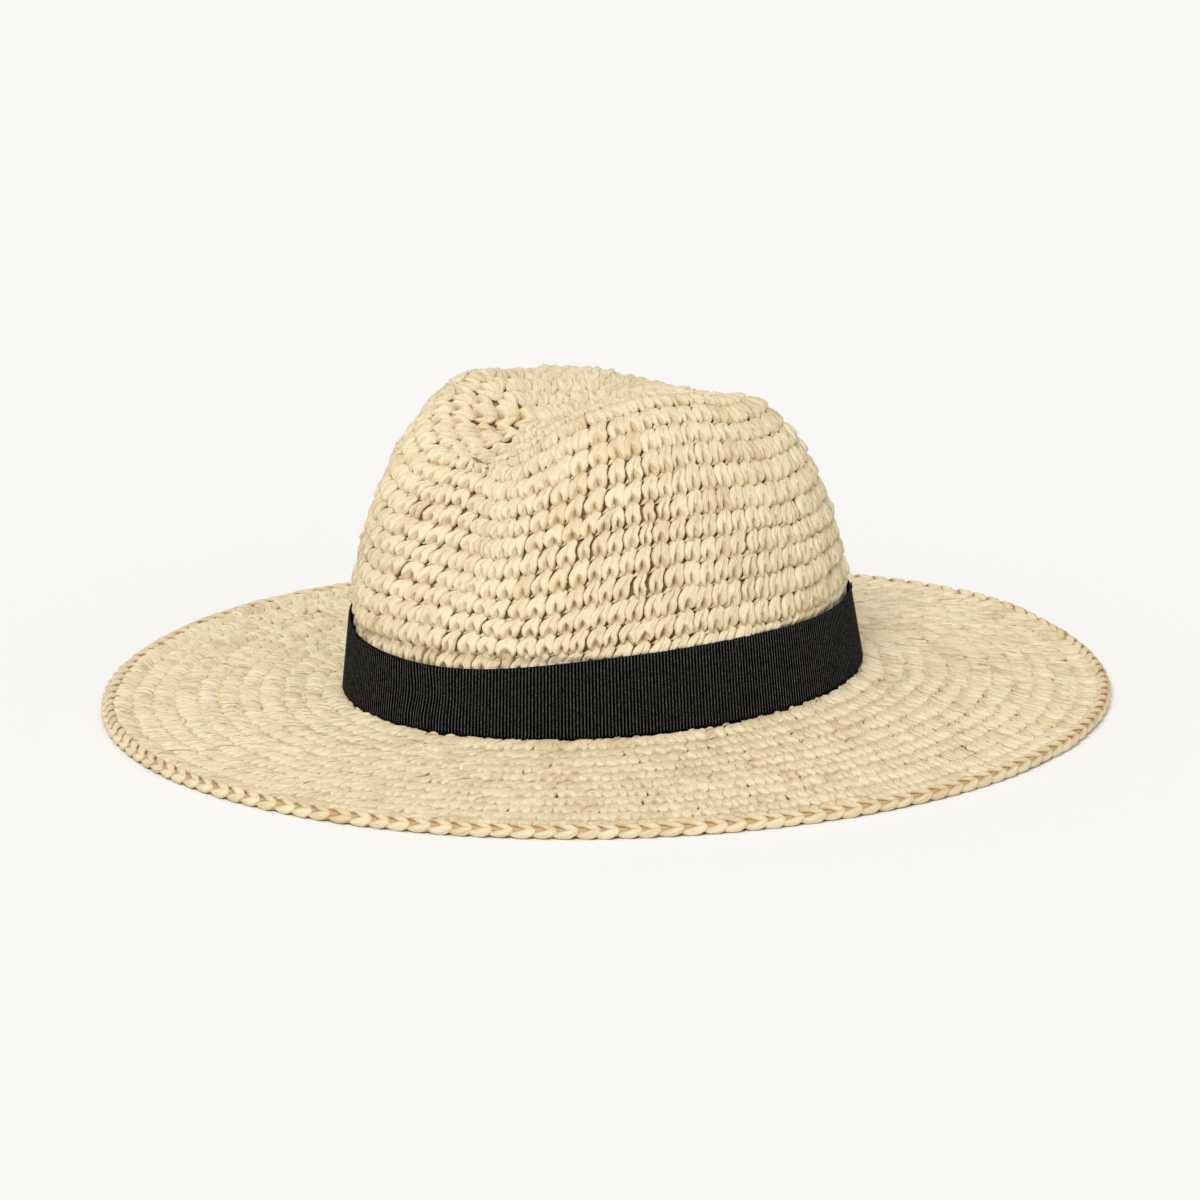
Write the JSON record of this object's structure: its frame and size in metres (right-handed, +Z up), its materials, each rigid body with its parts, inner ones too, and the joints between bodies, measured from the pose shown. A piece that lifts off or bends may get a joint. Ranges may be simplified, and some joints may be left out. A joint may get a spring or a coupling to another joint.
{
  "type": "straw sun hat",
  "caption": "Crocheted straw sun hat with a pinched, creased crown, a wide flat brim and a plain black grosgrain band.",
  "frame": {"origin": "centre of the hat's outline at the plane it rests on, under the brim's edge", "axes": "+Z up through the crown, -Y towards the wearer's front, +X to the wearer's left"},
  "size_m": [0.359, 0.399, 0.1343],
  "materials": {
    "straw": "matt crocheted paper straw, pale natural",
    "ribbon": "black grosgrain, dull with a faint sheen on the ribs",
    "cotton": "beige woven cotton tape",
    "thread": "straw-coloured sewing thread",
    "black_thread": "black sewing thread",
    "label": "plain woven label, blank",
    "wire": "bare spring wire"
  },
  "bodies": {
    "root": {"crown_tip": "straw", "crown_side": "straw", "brim": "straw", "brim_edge": "straw", "brim_wire": "wire", "wire_sleeve": "wire", "hatband": "ribbon", "hatband_keeper": "ribbon", "sweatband": "cotton", "sweatband_tape": "cotton", "sweatband_seam": "thread", "label": "label", "label_stitch_left": "thread", "label_stitch_right": "thread", "hatband_tack_1": "black_thread", "hatband_tack_2": "black_thread", "hatband_tack_3": "black_thread", "hatband_tack_4": "black_thread", "hatband_tack_5": "black_thread", "hatband_tack_6": "black_thread"}
  },
  "joints": []
}
